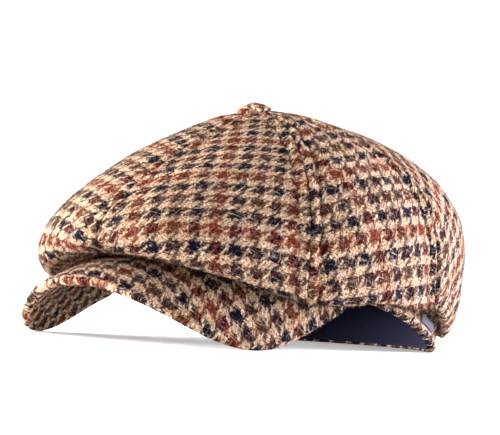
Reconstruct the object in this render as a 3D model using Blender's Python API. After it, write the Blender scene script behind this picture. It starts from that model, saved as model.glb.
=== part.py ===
"""Six-panel newsboy cap at rest: crown panels, band, peak, button, sweatband, metal tab.

Tables and sizes are in millimetres, meshes in metres. Front is -Y, the wearer's left is +X,
and the cap stands on the two lobes of its peak and the flattened back of its band.
An angle t runs round the cap from the front (0) by the wearer's left (90) to the back (180).
"""
import bpy
import numpy as np

MM = 0.001
GAP = 0.3                       # clearance between neighbouring pieces

# head opening: outer edge of the band
RIM_HALF_W, RIM_HALF_L = 85.0, 105.0
RIM_Z = (39.7, 22.7, -16.2)     # height at front, side, back; what is below 0 is pressed flat
BAND_H, BAND_T = 26.0, 2.4
HEM = (5.0, 1.4)                # height and swell of the folded hem

# crown: one row per ring: half width, front y, back y, height at front, side and back
APEX = (-25.3, 130.8)           # y and z of the point under the button
EDGE = dict(half=106.0, front=-146.7, back=113.0, z=(53.5, 31.0, 76.0))
RISE = (2.1, 1.71, 1.0)         # how late the dome leaves the apex: front, side, back
FULL = (1.23, 0.63, 1.10)        # how flat the dome is at the apex
ROLL = (0.55, 0.55, 1.2)        # roundness of the lower roll; over 1 it hangs straighter
SEAMS = (0.0, 59.4, 103.7, 180.0, 256.3, 300.6)
SWAY = (8.7, 22.0, 25.0, 0.0, -25.0, -22.0)     # how much further round each seam leaves the apex
LOW = (                         # lowest fold of the crown round the cap (degrees from the front):
    # how far it lies outside the rim, how high above it where the peak doesn't carry it,
    # and how far the band leans out at its top
    dict(t=0, out=11.5, up=8.0, lean=0.0),
    dict(t=30, out=14.0, up=8.0, lean=0.0),
    dict(t=60, out=18.0, up=7.0, lean=0.0),
    dict(t=77, out=15.0, up=5.5, lean=0.0),
    dict(t=90, out=11.5, up=2.0, lean=1.5),
    dict(t=104, out=9.5, up=12.0, lean=3.8),
    dict(t=118, out=5.4, up=10.5, lean=5.5),
    dict(t=132, out=4.0, up=8.5, lean=5.5),
    dict(t=150, out=5.6, up=9.0, lean=3.0),
    dict(t=180, out=6.0, up=10.0, lean=1.5),
)
FLAT_FOLD, FLAT_FROM = (1.5, 3.0), (100.0, 118.0)   # its inside is flat here, from these angles on
CLOTH, PINCH = 2.2, 0.6         # crown wall, and the share of it pressed out of the lowest fold
PUFF, GROOVE = 2.5, 0.8         # panels swell between the seams, which lie a little deeper

# peak: edge heights at s = 0, 1/4, 1/2, 3/4 of the way from the centre to the temple
PEAK_TURN = 80.0                # angle t where the peak ends
PEAK_HALF, PEAK_FRONT, PEAK_ROUND = 89.7, -158.5, 0.67
PEAK_RIGHT = 1.045              # the lobe on the wearer's right stands out a little more
PEAK_Z = (30.8, 24.3, 8.2, 3.9)
PEAK_BOW, PEAK_T, PEAK_THIN = 3.0, 5.2, 0.5     # the last: share lost towards the tips
PEAK_END = 0.945                # the tips are cut square just short of the point

# the tables above have y = 0 at the middle of the head opening; the cap is moved by this much so
# that the middle of its outline on the floor lies at the origin
CENTRE_Y = -(PEAK_FRONT + EDGE["back"]) / 2


def mix(t, front, side, back):
    """One size round the cap from its values at the front, the sides and the back."""
    return ((front + back + 2 * side) / 4 + (front - back) / 2 * np.cos(t)
            + (front + back - 2 * side) / 4 * np.cos(2 * t))


def step(x, lo, hi):
    x = np.clip((x - lo) / (hi - lo), 0, 1)
    return x * x * (3 - 2 * x)


def wrap(t):
    return (np.asarray(t, float) + np.pi) % (2 * np.pi) - np.pi


def rim_xy(t, out=0.0):
    n = np.stack([np.sin(t) / RIM_HALF_W, -np.cos(t) / RIM_HALF_L], -1)
    n = n / np.linalg.norm(n, axis=-1, keepdims=True)
    rim = np.stack([RIM_HALF_W * np.sin(t), -RIM_HALF_L * np.cos(t)], -1)
    return rim + n * np.asarray(out)[..., None]


def rim_z(t):
    z = mix(t, *RIM_Z)
    return np.maximum(0.5 * (z + np.hypot(z, 3.0)) - 0.6, 0.0)


def band_out(t, h):
    """How far the band's outer face stands off the rim line at height h above it."""
    hem = HEM[1] * np.clip(np.sin(np.pi * h / HEM[0]), 0, 1) * (h < HEM[0])
    hem = hem * step(np.abs(wrap(t)), 1.4, 1.5)
    return low(t, "lean") * h / BAND_H + hem


def low(t, column):
    """A column of the LOW table at angle t, rounded off over a few degrees."""
    a = np.degrees(np.abs(wrap(t)))
    rows, values = [r["t"] for r in LOW], [r[column] for r in LOW]
    near = [180 - np.abs(180 - np.abs(a + d)) for d in (-6, -3, 0, 3, 6)]
    return sum(np.interp(v, rows, values) for v in near) / 5


def at(xy, z):
    return np.concatenate([xy, np.broadcast_to(z, xy.shape[:-1])[..., None]], -1)


def curve(values, q):
    """Natural cubic through values at 0, 1, 2 ..."""
    y = np.asarray(values, float)
    n = len(y)
    a = np.eye(n)
    for i in range(1, n - 1):
        a[i, i - 1:i + 2] = 1, 4, 1
    rhs = np.zeros(n)
    rhs[1:-1] = 6 * (y[2:] - 2 * y[1:-1] + y[:-2])
    m = np.linalg.solve(a, rhs)
    i = np.clip(np.floor(q).astype(int), 0, n - 2)
    f = q - i
    g = 1 - f
    return g * y[i] + f * y[i + 1] + ((g ** 3 - g) * m[i] + (f ** 3 - f) * m[i + 1]) / 6


# ---------------------------------------------------------------- peak
def peak_edge(s):
    turn = np.radians(PEAK_TURN)
    k = np.sin(np.abs(s) * np.pi / 2)
    end_x, end_y = RIM_HALF_W * np.sin(turn), -RIM_HALF_L * np.cos(turn)
    x = np.sign(s) * (PEAK_HALF * k + (end_x - PEAK_HALF) * k ** 12)
    x = x * np.where(s < 0, 1 + (PEAK_RIGHT - 1) * (1 - k ** 12), 1.0)
    y = end_y - (end_y - PEAK_FRONT) * np.clip(np.cos(s * np.pi / 2), 0, 1) ** PEAK_ROUND
    z0, z1, z2, z3 = PEAK_Z
    z = curve((z2, z1, z0, z1, z2, z3, float(rim_z(turn)) + 3), np.abs(s) * 4 + 2)
    return np.stack([x, y, z], -1)


def peak_mid(s, w):
    """Middle of the peak's board; s across it (-1 to 1), w from its root to its edge."""
    t = s * np.radians(PEAK_TURN)
    root = at(rim_xy(t, GAP + 0.1), rim_z(t) + PEAK_T / 2 + 0.2)
    w = np.asarray(w, float)[..., None]
    bow = 4 * PEAK_BOW * np.clip(np.cos(s * np.pi / 2), 0, 1)[..., None] ** 0.5 * np.array([0, 0, 1])
    return root + (peak_edge(s) - root) * w + bow * w * (1 - w)


def peak_frame(s, w):
    """Middle point, outward direction and normal of the peak."""
    e = 1e-3
    p = peak_mid(s, w)
    dw = peak_mid(s, w + e) - peak_mid(s, w - e)
    ds = peak_mid(s + e, w) - peak_mid(s - e, w)
    n = np.cross(ds, dw)
    n = n * np.sign(n[..., 2:3])
    n = n / np.linalg.norm(n, axis=-1, keepdims=True)
    o = dw / np.linalg.norm(dw, axis=-1, keepdims=True)
    return p, o, n


# ---------------------------------------------------------------- crown
def low_ring(t):
    """The lowest fold of the crown: on the peak in front, beside the band behind it."""
    t = wrap(t)
    a = np.abs(t)
    s = np.clip(t / np.radians(PEAK_TURN), -0.98, 0.98)
    out = low(t, "out")
    root, edge = peak_mid(s, 0 * s), peak_mid(s, 0 * s + 1)
    width = np.linalg.norm((edge - root)[..., :2], axis=-1)
    p, _, n = peak_frame(s, np.clip(out / width, 0.0, 0.8))
    on_peak = p + n * (PEAK_T / 2 + 2 * GAP)
    beside = at(rim_xy(t, out), rim_z(t) + low(t, "up"))
    b = step(a, np.radians(74), np.radians(84))[..., None]
    return on_peak * (1 - b) + beside * b


def crown_base(t, u):
    """Outside of the crown: u 0-1 dome, 1-2 lower roll, 2-3 tuck up to the top of the band."""
    t, u = np.broadcast_arrays(np.asarray(t, float), np.asarray(u, float))
    apex = np.array([0.0, APEX[0], APEX[1]])
    c, b = (EDGE["front"] + EDGE["back"]) / 2, (EDGE["back"] - EDGE["front"]) / 2
    edge = np.stack([EDGE["half"] * np.sin(t), c - b * np.cos(t), mix(t, *EDGE["z"])], -1)
    fold = low_ring(t)
    top = at(rim_xy(t, low(t, "lean") + GAP + 0.1), rim_z(t) + BAND_H + GAP)
    f = np.clip(u, 0, 1) * np.pi / 2
    r, h = np.sin(f) ** mix(t, *RISE), np.cos(f) ** mix(t, *FULL)
    z = edge[..., 2]
    dome = at(apex[:2] + (edge - apex)[..., :2] * r[..., None], z + (apex[2] - z) * h)
    f = np.clip(u - 1, 0, 1) * np.pi / 2
    r, h = np.cos(f) ** mix(t, *ROLL), np.sin(f)
    roll = at(fold[..., :2] + (edge - fold)[..., :2] * r[..., None], z + (fold[..., 2] - z) * h)
    f = np.clip(u - 2, 0, 1)[..., None]
    tuck = fold + (top - fold) * f
    return np.where((u < 1)[..., None], dome, np.where((u < 2)[..., None], roll, tuck))


def crown_grid(t, u, xi):
    """Puffed outside of the crown and the direction its wall is offset in."""
    base = crown_base(t, u)
    e = 1e-3
    du = crown_base(t, u + e) - crown_base(t, u - e)
    dt = crown_base(t + e, u) - crown_base(t - e, u)
    n = np.cross(du, dt)
    n = n / np.maximum(np.linalg.norm(n, axis=-1, keepdims=True), 1e-9)
    swell = np.sin(np.pi * np.clip(u / 2.0, 0, 1)) ** 0.8 * step(u, 0.06, 0.5)
    lift = swell * (PUFF * (1 - xi ** 2) - GROOVE * np.exp(-((1 - np.abs(xi)) / 0.12) ** 2))
    return base + n * lift[..., None], n


# ================= meshes
FOLDS = (                       # soft dents of the crown: t and spread in degrees, u and spread, depth
    dict(t=101.0, st=3.0, u=1.05, su=0.45, deep=1.6),
    dict(t=118.0, st=4.0, u=1.20, su=0.40, deep=1.8),
    dict(t=70.0, st=5.0, u=1.35, su=0.30, deep=1.2),
    dict(t=36.0, st=8.0, u=1.45, su=0.30, deep=1.2),
    dict(t=-22.0, st=8.0, u=1.30, su=0.35, deep=1.4),
    dict(t=-75.0, st=6.0, u=1.30, su=0.35, deep=1.6),
    dict(t=-118.0, st=6.0, u=1.15, su=0.40, deep=1.8),
    dict(t=152.0, st=7.0, u=1.25, su=0.40, deep=1.6),
    dict(t=-155.0, st=7.0, u=1.20, su=0.40, deep=1.4),
    dict(t=88.0, st=12.0, u=0.62, su=0.16, deep=1.6),
    dict(t=-40.0, st=14.0, u=0.70, su=0.16, deep=1.8),
)
DOME = (0.0, 0.08, 0.16, 0.25, 0.34, 0.43, 0.52, 0.61, 0.69, 0.77, 0.84, 0.9, 0.96, 1.0)
LOWER = (1.06, 1.14, 1.24, 1.36, 1.5, 1.64, 1.78, 1.9, 2.0, 2.3, 2.65, 3.0)
ACROSS = (-1.0, -0.88, -0.72, -0.5, -0.25, 0.0, 0.25, 0.5, 0.72, 0.88, 1.0)
APEX_HOLE = 3.0                 # radius left open under the button
BUTTON = ((0.0, 2.5), (3.5, 2.4), (6.5, 2.1), (8.8, 1.6), (9.8, 1.1))     # radius, height
BUTTON_LEAN = 0.6               # how far the button bends down with the crown
SWEAT_T, SWEAT_LOW, SWEAT_TOP = 1.2, 1.5, 25.0
TAB = dict(t=111.5, up=7.0, long=20.0, tall=5.0, thick=1.0)
PEAK_ACROSS, PEAK_DEEP, NOSE = 44, (0.0, 0.15, 0.35, 0.55, 0.75, 0.9), 5


def sheet_mesh(outer, inner):
    """Closed shell from two matching grids of points."""
    r, c = outer.shape[:2]
    pts = np.concatenate([outer.reshape(-1, 3), inner.reshape(-1, 3)])
    o = np.arange(r * c).reshape(r, c)
    i = o + r * c
    faces = []

    def strip(a, b):
        for k in range(len(a) - 1):
            faces.append((a[k], b[k], b[k + 1], a[k + 1]))
    for k in range(r - 1):
        strip(o[k], o[k + 1])
        strip(i[k + 1], i[k])
    strip(i[0], o[0])
    strip(o[-1], i[-1])
    strip(o[:, 0], i[:, 0])
    strip(i[:, -1], o[:, -1])
    return pts, faces


def ring_mesh(section):
    """Closed ring from section points (k, n, 3) that runs once round the cap."""
    k, n = section.shape[:2]
    idx = np.arange(k * n).reshape(k, n)
    faces = []
    for a in range(k):
        for b in range(n):
            a2, b2 = (a + 1) % k, (b + 1) % n
            faces.append((idx[a, b], idx[a, b2], idx[a2, b2], idx[a2, b]))
    return section.reshape(-1, 3), faces


def tube_mesh(section):
    """Closed bar from section loops (n, k, 3); rungs from top to bottom close both ends."""
    n, k = section.shape[:2]
    idx = np.arange(n * k).reshape(n, k)
    faces = []
    for j in range(k // 2):
        rung = list(dict.fromkeys((j, j + 1, k - 2 - j, k - 1 - j)))
        faces += [tuple(idx[0][rung[::-1]]), tuple(idx[-1][rung])]
    for a in range(n - 1):
        for b in range(k):
            b2 = (b + 1) % k
            faces.append((idx[a, b], idx[a, b2], idx[a + 1, b2], idx[a + 1, b]))
    return section.reshape(-1, 3), faces


def panel_angles(i, u=1.0):
    """Angles of a panel's columns at height u; the seams sway as they near the apex."""
    w = np.clip(1 - u, 0, 1) ** 2
    a = SEAMS[i] + SWAY[i] * w
    b = (SEAMS + (360.0,))[i + 1] + (SWAY + SWAY[:1])[i + 1] * w
    return np.radians((a + b) / 2 + np.array(ACROSS) * (b - a) / 2)


def dented(t, u, p, n):
    for f in FOLDS:
        dt = np.degrees(wrap(t - np.radians(f["t"]))) / f["st"]
        du = (u - f["u"]) / f["su"]
        p = p - n * (f["deep"] * np.exp(-dt ** 2 - du ** 2) * (u < 2))[..., None]
    return p


def dome_start(t, radius):
    """The u at which the dome stands a given distance from the apex."""
    c, b = (EDGE["front"] + EDGE["back"]) / 2, (EDGE["back"] - EDGE["front"]) / 2
    reach = np.hypot(EDGE["half"] * np.sin(t), c - b * np.cos(t) - APEX[0])
    return np.arcsin((radius / reach) ** (1 / mix(t, *RISE))) * 2 / np.pi


def filled(t, k, inner):
    """Behind the peak the fold is pressed flat: its inside ends in a straight line above it."""
    a, b = np.searchsorted(k, FLAT_FOLD)
    w = ((k[a:b + 1] - k[a]) / (k[b] - k[a]))[:, None, None]
    line = inner[a] + (inner[b] - inner[a]) * w
    share = step(np.abs(wrap(t[a:b + 1])), *np.radians(FLAT_FROM))[..., None]
    inner[a:b + 1] += (line - inner[a:b + 1]) * share
    return inner


def panel(i):
    k = np.array(DOME + LOWER)[:, None]
    t = panel_angles(i, k)
    u0 = dome_start(t, APEX_HOLE)
    u = np.where(k < 1, u0 + (1 - u0) * k, k)
    t, u = np.broadcast_arrays(t, u)
    outer, n = crown_grid(t, u, np.array(ACROSS)[None, :])
    outer = dented(t, u, outer, n)
    inner = outer - n * (CLOTH * (1 - PINCH * np.exp(-((u - 2.05) / 0.22) ** 2)))[..., None]
    inner = filled(t, k[:, 0], inner)
    d = np.gradient(outer, axis=1)              # draw the panel in by half the seam's clearance
    d = d / np.linalg.norm(d, axis=-1, keepdims=True)
    d = d * (-GAP / 2 * np.array(ACROSS) * (1 + step(u, 1.8, 2.0)))[..., None]
    outer, inner = outer + d, inner + d * (1 + 5 * step(u, 1.2, 1.5))[..., None]
    return sheet_mesh(outer, inner)


def all_angles():
    return np.concatenate([panel_angles(i)[:-1] for i in range(len(SEAMS))])


def wall_ring(heights, out, thick):
    """A standing ring: outer face at the given heights, inner face a wall thickness inside."""
    t = all_angles()
    rows = []
    for h in heights:
        rows.append(at(rim_xy(t, out(t, h)), rim_z(t) + h))
    for h in heights[::-1]:
        rows.append(at(rim_xy(t, low(t, "lean") * h / BAND_H - thick), rim_z(t) + h))
    return ring_mesh(np.array(rows))


def band():
    heights = [0.0, HEM[0] / 2, HEM[0], 15.0, BAND_H]
    return wall_ring(heights, band_out, BAND_T)


def sweatband():
    t = all_angles()
    rows = []
    for d, hs in ((0.0, (SWEAT_LOW, 10.0, SWEAT_TOP)), (SWEAT_T, (SWEAT_TOP, 10.0, SWEAT_LOW))):
        for h in hs:
            rows.append(at(rim_xy(t, low(t, "lean") * h / BAND_H - BAND_T - GAP - d), rim_z(t) + h))
    return ring_mesh(np.array(rows))


def peak():
    s = np.linspace(-PEAK_END, PEAK_END, PEAK_ACROSS + 1)
    h = PEAK_T / 2 * (1 - PEAK_THIN * step(np.abs(s), 0.7, 0.95))[:, None]
    loops = []
    for w in PEAK_DEEP:
        p, _, n = peak_frame(s, 0 * s + w)
        k = step(w, 0.0, 0.4)
        n = n * k + np.array([0.0, 0.0, 1.0]) * (1 - k)
        n = n / np.linalg.norm(n, axis=-1, keepdims=True)
        loops.append((p + n * h, p - n * h))
    p, o, n = peak_frame(s, 0 * s + 1)
    p = p - o * h
    nose = [p + n * h * np.cos(a) + o * h * np.sin(a) for a in np.linspace(0, np.pi, NOSE)]
    rows = [a for a, _ in loops] + nose + [b for _, b in loops[::-1]]
    pts = np.stack(rows, 1)
    depth = PEAK_DEEP + (1.0,) * NOSE + PEAK_DEEP[::-1]
    depth = np.stack([0 * s + w for w in depth], 1)
    for _ in range(3):          # set the lobes down on the floor
        pts[..., 2] -= pts[..., 2].min() * depth
    return tube_mesh(pts)


def button():
    t = np.radians(np.arange(0, 360, 15))
    apex = np.array([0.0, APEX[0], 0.0])
    unit = np.stack([np.sin(t), -np.cos(t), 0 * t], -1)
    rows = []
    for radius in (2.5, 4.5, 7.0, BUTTON[-1][0] - 0.4):
        z = crown_base(t, dome_start(t, radius))[:, 2] + 1.5 * GAP
        rows.append(apex + unit * radius + z[:, None] * [0, 0, 1])
    for r, h in BUTTON[:0:-1]:
        z = APEX[1] + h + BUTTON_LEAN * (crown_base(t, dome_start(t, r))[:, 2] - APEX[1])
        rows.append(apex + unit * r + z[:, None] * [0, 0, 1])
    low_mid = apex + [0, 0, APEX[1] + GAP + 0.1]
    top_mid = apex + [0, 0, APEX[1] + BUTTON[0][1]]
    pts = np.concatenate(rows + [[low_mid], [top_mid]])
    n, k = len(t), len(rows)
    faces = []
    for a in range(k - 1):
        for b in range(n):
            b2 = (b + 1) % n
            faces.append((a * n + b, a * n + b2, (a + 1) * n + b2, (a + 1) * n + b))
    for b in range(n):
        b2 = (b + 1) % n
        faces.append((k * n, b2, b))
        faces.append((k * n + 1, (k - 1) * n + b, (k - 1) * n + b2))
    return pts, faces


def tab():
    t0 = np.radians(TAB["t"])
    turn = TAB["long"] / 2 / np.hypot(RIM_HALF_W * np.cos(t0), RIM_HALF_L * np.sin(t0))
    t = np.linspace(t0 - turn, t0 + turn, 9)[None, :]
    h = TAB["up"] + TAB["tall"] * np.array([-0.5, 0.0, 0.5])[:, None]
    t, h = np.broadcast_arrays(t, h)
    lean = low(t, "lean") * h / BAND_H + GAP
    back = at(rim_xy(t, lean), rim_z(t) + h)
    top = at(rim_xy(t, lean + TAB["thick"]), rim_z(t) + h)
    return sheet_mesh(top[::-1], back[::-1])


def material(name, colour, rough, metal=0.0):
    m = bpy.data.materials.new(name)
    m.use_nodes = True
    b = m.node_tree.nodes["Principled BSDF"]
    b.inputs["Base Color"].default_value = (*colour, 1.0)
    b.inputs["Roughness"].default_value = rough
    b.inputs["Metallic"].default_value = metal
    return m


def add(name, shape, mat):
    pts, faces = shape
    pts = (pts + [0, CENTRE_Y, 0]) * MM
    mesh = bpy.data.meshes.new(name)
    mesh.from_pydata(pts.tolist(), [], [tuple(int(v) for v in f) for f in faces])
    mesh.validate()
    mesh.materials.append(mat)
    obj = bpy.data.objects.new(name, mesh)
    bpy.context.scene.collection.objects.link(obj)
    return obj


def main():
    for obj in list(bpy.data.objects):
        bpy.data.objects.remove(obj)
    tweed = material("tweed", (0.34, 0.25, 0.19), 0.95)
    navy = material("navy_cloth", (0.03, 0.035, 0.07), 0.85)
    metal = material("dark_metal", (0.32, 0.32, 0.35), 0.4, 1.0)
    names = ("front_left", "side_left", "back_left", "back_right", "side_right", "front_right")
    for i, name in enumerate(names):
        add("panel_" + name, panel(i), tweed)
    add("band", band(), tweed)
    add("peak", peak(), tweed)
    add("button", button(), tweed)
    add("sweatband", sweatband(), navy)
    add("tab", tab(), metal)


main()
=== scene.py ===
"""Looks of the newsboy cap: tweed panels, band, peak, button, navy sweatband and a plain metal tab.

Sizes are in millimetres until a mesh is made. Front is -Y, the wearer's left is +X. An angle t runs
round the cap from the front (0) by the wearer's left (90) to the back (180), in degrees in the tables
and in radians in the functions.
"""

import bpy
import numpy as np
from mathutils import Matrix, Vector


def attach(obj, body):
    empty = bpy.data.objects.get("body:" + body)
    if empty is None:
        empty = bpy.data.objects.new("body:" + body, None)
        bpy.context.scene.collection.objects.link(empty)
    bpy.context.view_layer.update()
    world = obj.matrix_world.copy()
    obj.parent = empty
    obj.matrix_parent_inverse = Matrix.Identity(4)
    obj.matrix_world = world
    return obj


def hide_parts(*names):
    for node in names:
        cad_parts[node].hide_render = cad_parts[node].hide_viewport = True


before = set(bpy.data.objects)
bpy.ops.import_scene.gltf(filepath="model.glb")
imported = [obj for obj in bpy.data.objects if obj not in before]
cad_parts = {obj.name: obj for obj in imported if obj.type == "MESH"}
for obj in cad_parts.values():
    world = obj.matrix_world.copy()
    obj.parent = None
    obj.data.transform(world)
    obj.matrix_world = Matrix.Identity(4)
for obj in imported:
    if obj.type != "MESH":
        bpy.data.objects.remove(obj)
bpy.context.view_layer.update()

# ---------------------------------------------------------------- the cap's sizes, as in its solids
MM = 0.001
GAP = 0.3                       # clearance between neighbouring pieces
RIM_HALF_W, RIM_HALF_L = 85.0, 105.0            # head opening: outer edge of the band
RIM_Z = (39.7, 22.7, -16.2)     # height at front, side, back; what is below 0 is pressed flat
BAND_H, BAND_T = 26.0, 2.4
HEM = (5.0, 1.4)                # height and swell of the folded hem

# crown
APEX = (-25.3, 130.8)           # y and z of the point under the button
EDGE = dict(half=106.0, front=-146.7, back=113.0, z=(53.5, 31.0, 76.0))
RISE = (2.1, 1.71, 1.0)         # how late the dome leaves the apex: front, side, back
FULL = (1.23, 0.63, 1.10)       # how flat the dome is at the apex
ROLL = (0.55, 0.55, 1.2)        # roundness of the lower roll; over 1 it hangs straighter
SEAMS = (0.0, 59.4, 103.7, 180.0, 256.3, 300.6)
SWAY = (8.7, 22.0, 25.0, 0.0, -25.0, -22.0)     # how much further round each seam leaves the apex
LOW = (                         # lowest fold of the crown round the cap (degrees from the front):
    # how far it lies outside the rim, how high above it where the peak doesn't carry it,
    # and how far the band leans out at its top
    dict(t=0, out=11.5, up=8.0, lean=0.0),
    dict(t=30, out=14.0, up=8.0, lean=0.0),
    dict(t=60, out=18.0, up=7.0, lean=0.0),
    dict(t=77, out=15.0, up=5.5, lean=0.0),
    dict(t=90, out=11.5, up=2.0, lean=1.5),
    dict(t=104, out=9.5, up=12.0, lean=3.8),
    dict(t=118, out=5.4, up=10.5, lean=5.5),
    dict(t=132, out=4.0, up=8.5, lean=5.5),
    dict(t=150, out=5.6, up=9.0, lean=3.0),
    dict(t=180, out=6.0, up=10.0, lean=1.5),
)
FLAT_FOLD, FLAT_FROM = (1.5, 3.0), (100.0, 118.0)   # its inside is flat here, from these angles on
CLOTH, PINCH = 2.2, 0.6         # crown wall, and the share of it pressed out of the lowest fold
PINCH_AT, PINCH_WIDE = 2.05, 0.22
PUFF, GROOVE = 2.5, 0.8         # panels swell between the seams, which lie a little deeper
FOLDS = (                       # soft dents of the crown: t and spread in degrees, u and spread, depth
    dict(t=101.0, st=3.0, u=1.05, su=0.45, deep=1.6),
    dict(t=118.0, st=4.0, u=1.20, su=0.40, deep=1.8),
    dict(t=70.0, st=5.0, u=1.35, su=0.30, deep=1.2),
    dict(t=36.0, st=8.0, u=1.45, su=0.30, deep=1.2),
    dict(t=-22.0, st=8.0, u=1.30, su=0.35, deep=1.4),
    dict(t=-75.0, st=6.0, u=1.30, su=0.35, deep=1.6),
    dict(t=-118.0, st=6.0, u=1.15, su=0.40, deep=1.8),
    dict(t=152.0, st=7.0, u=1.25, su=0.40, deep=1.6),
    dict(t=-155.0, st=7.0, u=1.20, su=0.40, deep=1.4),
    dict(t=88.0, st=12.0, u=0.62, su=0.16, deep=1.6),
    dict(t=-40.0, st=14.0, u=0.70, su=0.16, deep=1.8),
)
APEX_HOLE = 3.0                 # radius left open under the button

# peak
PEAK_TURN = 80.0                # angle t where the peak ends
PEAK_HALF, PEAK_FRONT, PEAK_ROUND = 89.7, -158.5, 0.67
PEAK_RIGHT = 1.045              # the lobe on the wearer's right stands out a little more
PEAK_Z = (30.8, 24.3, 8.2, 3.9)                 # edge heights at s = 0, 1/4, 1/2, 3/4
PEAK_BOW, PEAK_T, PEAK_THIN = 3.0, 5.2, 0.5     # the last: share lost towards the tips
PEAK_END = 0.945                # the tips are cut square just short of the point

# button, sweatband and tab
BUTTON = ((0.0, 2.5), (3.5, 2.4), (6.5, 2.1), (8.8, 1.6), (9.8, 1.1))     # radius, height
BUTTON_LEAN = 0.6               # how far the button bends down with the crown
SWEAT_T, SWEAT_LOW, SWEAT_TOP = 1.2, 1.5, 25.0
TAB = dict(t=111.5, up=7.0, long=20.0, tall=5.0, thick=1.0)

# the tables above have y = 0 at the middle of the head opening; the cap is moved by this much so
# that the middle of its outline on the floor lies at the origin
CENTRE_Y = -(PEAK_FRONT + EDGE["back"]) / 2

# ---------------------------------------------------------------- the cloth
THREAD = 1.3                    # width of a thread
STRIPE = 4                      # threads to a stripe
COLOURS = dict(                 # linear colour of each yarn
    cream=(0.535, 0.37, 0.25),
    navy=(0.0055, 0.004, 0.014),
    rust=(0.155, 0.025, 0.009),
    brown=(0.060, 0.023, 0.013),
)
STRIPES = ("navy", "cream", "rust", "cream", "navy", "cream", "brown", "cream")
TWILL = 4.0                     # threads after which the twill repeats
WARP = 1.7                      # how many of those the warp covers
WANDER = 2.6                    # how far a thread strays from its line, in threads
FRAY = 3.2                      # how ragged the threads' edges are
SPREAD = 0.10                   # how far a coloured stripe spreads over its neighbours, in stripes
RELIEF = 0.5                    # depth of the weave
HAIRS = (                       # single hairs: how they lie in degrees, width in the noise, linear colour
    dict(turn=22.0, wide=0.012, colour=(0.74, 0.62, 0.50)),
    dict(turn=-58.0, wide=0.012, colour=(0.66, 0.52, 0.40)),
    dict(turn=71.0, wide=0.010, colour=(0.05, 0.03, 0.022)),
)
# how the check lies on each piece: shift across and along it in mm, turn in degrees, how much the
# cloth is stretched both ways, and how its threads slant, sag and spread towards the edge
CHECK = dict(
    front_left=dict(across=2.6, along=169.5, turn=-8.5, wide=0.93, long=1.02, slant=-1.3, sag=2.6, fan=-14.5),
    side_left=dict(across=28.7, along=162.6, turn=-11.4, wide=1.03, long=0.96, slant=-3.2, sag=3.4, fan=4.8),
    back_left=dict(across=24.7, along=141.2, turn=0, wide=1.0, long=0.97, slant=-3.8, sag=0, fan=-5.7),
    back_right=dict(across=3.0, along=145.0, turn=0, wide=1.0, long=1.0, slant=0, sag=0, fan=0),
    side_right=dict(across=0.0, along=143.0, turn=4.0, wide=1.0, long=1.0, slant=0, sag=1.0, fan=0),
    front_right=dict(across=24.6, along=140.5, turn=5.4, wide=1.03, long=0.99, slant=-2.6, sag=0.3, fan=3.7),
    peak=dict(across=9.0, along=-89.4, turn=-1.5, wide=1.0, long=1.0, slant=-2.2, sag=0, fan=14.4),
)
# each piece lies in a layer of its own, so that no two show the same wool
PANEL_LAYER, BAND_LAYER, PEAK_LAYER, UNDER_LAYER, BUTTON_LAYER = 7.0, 51.0, 90.0, 97.0, 130.0
STITCH = 3.0                    # length of a stitch

# loose wool on the cloth: how many fibres on each panel, the peak, the band and the button, then the
# shortest and longest fibre, its width, and how far it rises off the cloth in degrees
FUZZ_PANEL, FUZZ_PEAK, FUZZ_BAND, FUZZ_BUTTON = 14000, 14000, 7000, 500
FIBRE_LONG, FIBRE_WIDE, FIBRE_RISE = (1.2, 2.8), 0.15, (20.0, 60.0)
FIBRE_ROOT, FIBRE_LOWEST = 0.1, 0.1             # depth of its foot in the cloth, lowest height of its tip


def on_cloth(x, y, piece, layer):
    """Place in the cloth, counted in threads, of a point of the flattened piece."""
    c = CHECK[piece]
    x, y, a = x - c["across"], y - c["along"], np.radians(c["turn"])
    u = (np.cos(a) * x + np.sin(a) * y) * c["wide"] + c["slant"] * y * 0.01 + c["fan"] * x * y * 1e-4
    v = (-np.sin(a) * x + np.cos(a) * y) * c["long"] + c["sag"] * (x / 40.0) ** 2
    return np.stack([u / THREAD + 2, v / THREAD + 2, 0 * u + layer], -1)


# ---------------------------------------------------------------- shapes
def mix(t, front, side, back):
    """One size round the cap from its values at the front, the sides and the back."""
    return ((front + back + 2 * side) / 4 + (front - back) / 2 * np.cos(t)
            + (front + back - 2 * side) / 4 * np.cos(2 * t))


def step(x, lo, hi):
    """A smooth step from 0 at lo to 1 at hi."""
    x = np.clip((x - lo) / (hi - lo), 0, 1)
    return x * x * (3 - 2 * x)


def bell(x, width):
    return np.exp(-(x / width) ** 2)


def wrap(t):
    return (np.asarray(t, float) + np.pi) % (2 * np.pi) - np.pi


def at(xy, z):
    return np.concatenate([xy, np.broadcast_to(z, xy.shape[:-1])[..., None]], -1)


def unit(v):
    return v / np.maximum(np.linalg.norm(v, axis=-1, keepdims=True), 1e-9)


def all_round(count):
    """Angles of a closed ring of points."""
    return np.linspace(0, 2 * np.pi, count + 1)[:-1]


def along(p, axis):
    """Length run along an axis of a grid of points, from its start."""
    d = np.linalg.norm(np.diff(p, axis=axis), axis=-1)
    zero = np.zeros_like(np.take(d, [0], axis=axis))
    return np.concatenate([zero, np.cumsum(d, axis=axis)], axis)


def curve(values, q):
    """Natural cubic through values at 0, 1, 2 ..."""
    y = np.asarray(values, float)
    n = len(y)
    a = np.eye(n)
    for i in range(1, n - 1):
        a[i, i - 1:i + 2] = 1, 4, 1
    rhs = np.zeros(n)
    rhs[1:-1] = 6 * (y[2:] - 2 * y[1:-1] + y[:-2])
    m = np.linalg.solve(a, rhs)
    i = np.clip(np.floor(q).astype(int), 0, n - 2)
    f = q - i
    g = 1 - f
    return g * y[i] + f * y[i + 1] + ((g ** 3 - g) * m[i] + (f ** 3 - f) * m[i + 1]) / 6


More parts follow.
